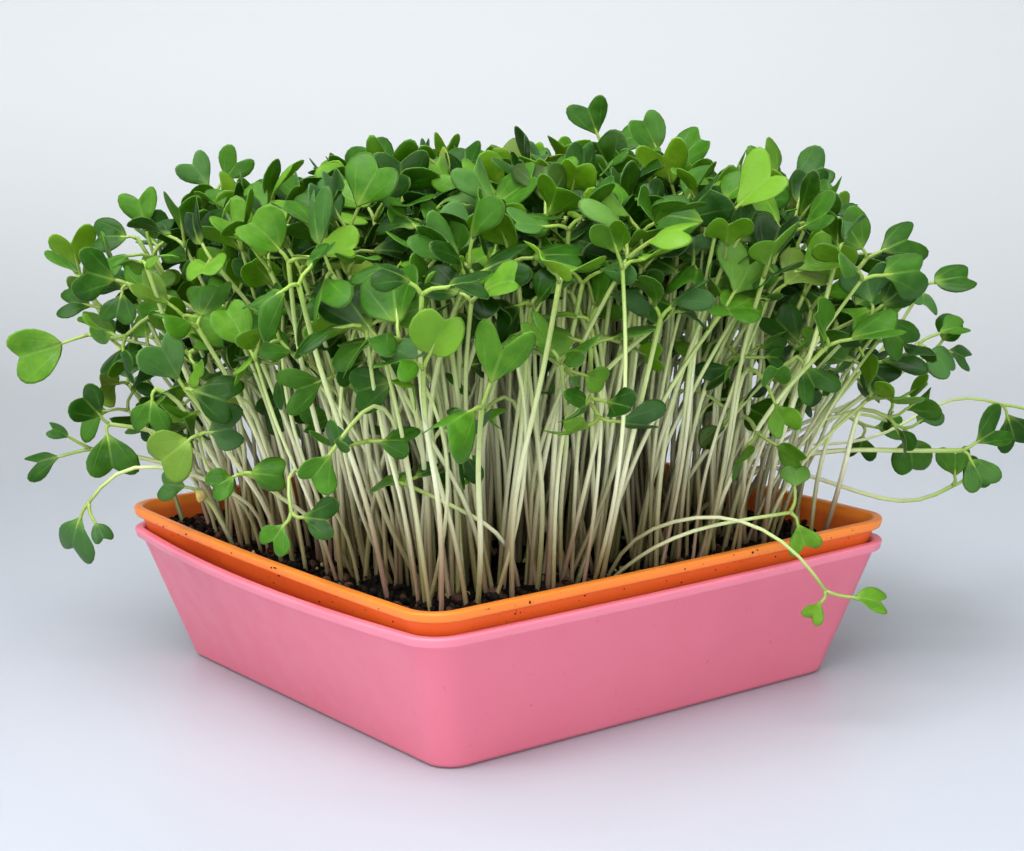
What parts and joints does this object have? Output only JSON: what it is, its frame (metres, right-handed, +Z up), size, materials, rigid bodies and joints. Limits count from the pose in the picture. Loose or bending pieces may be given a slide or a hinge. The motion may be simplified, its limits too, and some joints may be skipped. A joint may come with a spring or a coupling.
{
  "type": "microgreens tray",
  "caption": "Square tray of brassica microgreens: a dense stand of pale stems with notched seed leaves, growing in two nested tapered plastic trays.",
  "frame": {"origin": "middle of the outer tray's underside, on the surface it stands on", "axes": "+Z up; X and Y along the square tray's sides; the front corner of the picture is the one at -X and -Y"},
  "size_m": [0.225, 0.1786, 0.1259],
  "materials": {
    "outer_plastic": "satin pink moulded plastic",
    "inner_plastic": "satin orange moulded plastic, slightly translucent",
    "soil": "dark moist crumbly growing medium with seed hulls",
    "greens": "fresh leaves, mid green with a soft sheen, on pale green to cream stems"
  },
  "bodies": {
    "root": {"outer_tray": "outer_plastic", "inner_tray": "inner_plastic", "soil": "soil", "greens_front": "greens", "greens_left": "greens", "greens_right": "greens", "greens_back": "greens"}
  },
  "joints": []
}
